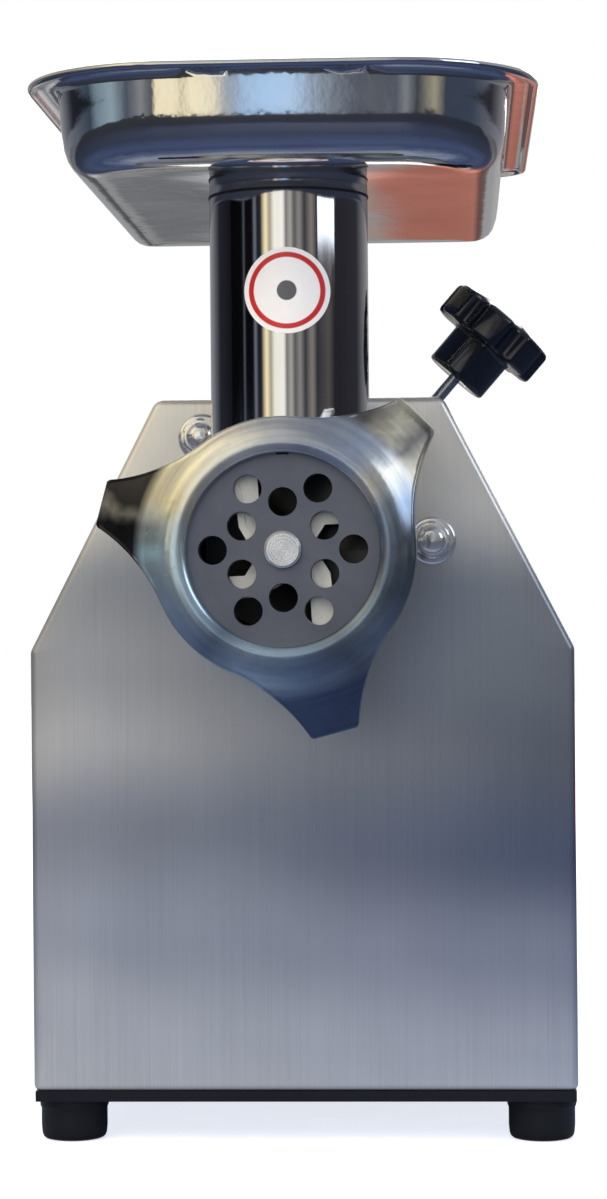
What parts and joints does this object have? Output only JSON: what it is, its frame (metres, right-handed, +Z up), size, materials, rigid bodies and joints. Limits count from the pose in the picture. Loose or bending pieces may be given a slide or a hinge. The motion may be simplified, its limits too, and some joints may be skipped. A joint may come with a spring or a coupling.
{
  "type": "electric meat grinder",
  "caption": "Countertop electric meat grinder: a steel housing on rubber feet, a cast grinding head with a lugged ring nut, and a steel tray on its throat.",
  "frame": {"origin": "on the surface it stands on, under the middle of the whole object's bounding box", "axes": "+Z up; -Y is the front, where the grinding head points; +X is to the right seen from the front"},
  "size_m": [0.205, 0.393, 0.383],
  "materials": {
    "housing_steel": "brushed",
    "polished_head": "polished cast",
    "tray_steel": "mirror polished",
    "cutting_steel": "ground",
    "worm_cast": "tinned cast",
    "label": "printed film",
    "knob_plastic": "gloss",
    "bright_fastener": "bright",
    "plain_fastener": "zinc plated",
    "brass": "turned",
    "bronze": "turned bronze",
    "base_paint": "satin black",
    "foot_rubber": "matte",
    "cast_aluminium": "as cast",
    "gasket": "matte",
    "gear_steel": "machined",
    "bearing_steel": "ground",
    "motor_casting": "painted cast",
    "lamination": "stacked sheet",
    "copper": "enamelled copper wire",
    "fan_plastic": "moulded",
    "cradle_paint": "satin black",
    "capacitor_can": "moulded can",
    "clamp_strip": "pressed",
    "terminal_plastic": "moulded",
    "switch_plastic": "moulded",
    "green_button": "moulded",
    "red_button": "moulded"
  },
  "bodies": {
    "root": {"head_socket": "cast_aluminium", "socket_studs": "plain_fastener", "socket_nuts": "bright_fastener", "socket_washers": "bright_fastener", "front_panel": "housing_steel", "body_cover": "housing_steel", "rear_panel": "housing_steel", "base_plate": "base_paint", "foot_front_left": "foot_rubber", "foot_front_right": "foot_rubber", "foot_rear_left": "foot_rubber", "foot_rear_right": "foot_rubber", "foot_screws": "bright_fastener", "panel_screws": "bright_fastener", "gearbox_cover": "cast_aluminium", "gearbox_gasket": "gasket", "gearbox_case": "cast_aluminium", "cover_bolts": "plain_fastener", "output_bearing_front": "bearing_steel", "output_bearing_rear": "bearing_steel", "output_seal": "gasket", "layshaft_bearings": "bearing_steel", "motor_frame": "motor_casting", "motor_front_shield": "motor_casting", "motor_rear_shield": "motor_casting", "stator_core": "lamination", "stator_winding": "copper", "motor_bearing_front": "bearing_steel", "motor_bearing_rear": "bearing_steel", "motor_cradle": "cradle_paint", "capacitor": "capacitor_can", "capacitor_clamp": "clamp_strip", "terminal_block": "terminal_plastic", "switch_body": "switch_plastic", "cable_gland": "switch_plastic"},
    "head": {"grinder_barrel": "polished_head", "throat_tube": "polished_head", "barrel_bush": "bronze", "plate_key_pin": "cutting_steel", "throat_label": "label"},
    "tray": {"feed_tray": "tray_steel", "tray_collar": "tray_steel"},
    "feed": {"feed_screw": "worm_cast", "screw_stud": "cutting_steel", "screw_washer": "brass", "knife": "cutting_steel"},
    "plate": {"cutting_plate": "cutting_steel"},
    "ring": {"ring_nut": "polished_head"},
    "clamp_pad": {"clamp_pad": "brass"},
    "clamp": {"clamp_knob": "knob_plastic", "clamp_screw": "plain_fastener"},
    "output": {"output_shaft": "gear_steel", "output_gear": "gear_steel"},
    "layshaft": {"layshaft": "gear_steel", "layshaft_gear": "gear_steel"},
    "rotor": {"rotor_core": "lamination", "motor_shaft": "gear_steel", "cooling_fan": "fan_plastic"},
    "start_button": {"start_button": "green_button"},
    "stop_button": {"stop_button": "red_button"}
  },
  "joints": [
    {"name": "head_slide", "type": "slide", "parent": "root", "child": "head", "axis": [0, -1, 0], "range_m": [0, 0.045]},
    {"name": "tray_lift", "type": "slide", "parent": "head", "child": "tray", "axis": [0, 0, 1], "range_m": [0, 0.06]},
    {"name": "feed_spin", "type": "hinge", "parent": "head", "child": "feed", "pos_m": [0, -0.0585, 0.2215], "axis": [0, -1, 0], "continuous": true},
    {"name": "plate_slide", "type": "slide", "parent": "head", "child": "plate", "axis": [0, -1, 0], "range_m": [0, 0.0121]},
    {"name": "ring_unscrew", "type": "hinge", "parent": "plate", "child": "ring", "pos_m": [0, -0.0585, 0.2215], "axis": [0, -1, 0], "range_deg": [0, 1080]},
    {"name": "clamp_travel", "type": "slide", "parent": "root", "child": "clamp_pad", "axis": [0.6561, 0, 0.7547], "range_m": [0, 0.0033]},
    {"name": "knob_turn", "type": "hinge", "parent": "clamp_pad", "child": "clamp", "pos_m": [0.06561, -0.0365, 0.29697], "axis": [0.6561, 0, 0.7547], "range_deg": [0, 1440]},
    {"name": "output_spin", "type": "hinge", "parent": "root", "child": "output", "pos_m": [0, -0.0585, 0.2215], "axis": [0, -1, 0], "continuous": true},
    {"name": "layshaft_spin", "type": "hinge", "parent": "root", "child": "layshaft", "pos_m": [-0.022, -0.0585, 0.15769], "axis": [0, -1, 0], "continuous": true},
    {"name": "rotor_spin", "type": "hinge", "parent": "root", "child": "rotor", "pos_m": [0, -0.0585, 0.10348], "axis": [0, -1, 0], "continuous": true},
    {"name": "start_press", "type": "slide", "parent": "root", "child": "start_button", "axis": [0, -1, 0], "range_m": [0, 0.003], "stiffness_N_per_m": 600},
    {"name": "stop_press", "type": "slide", "parent": "root", "child": "stop_button", "axis": [0, -1, 0], "range_m": [0, 0.003], "stiffness_N_per_m": 600}
  ],
  "couplings": [
    {"joint": "plate_slide", "follows": "ring_unscrew", "m_per_rad": 0.00063662},
    {"joint": "clamp_travel", "follows": "knob_turn", "m_per_rad": 0.00012732},
    {"joint": "feed_spin", "follows": "output_spin", "ratio": 1},
    {"joint": "layshaft_spin", "follows": "output_spin", "ratio": -2.8571},
    {"joint": "rotor_spin", "follows": "output_spin", "ratio": 15.714}
  ]
}
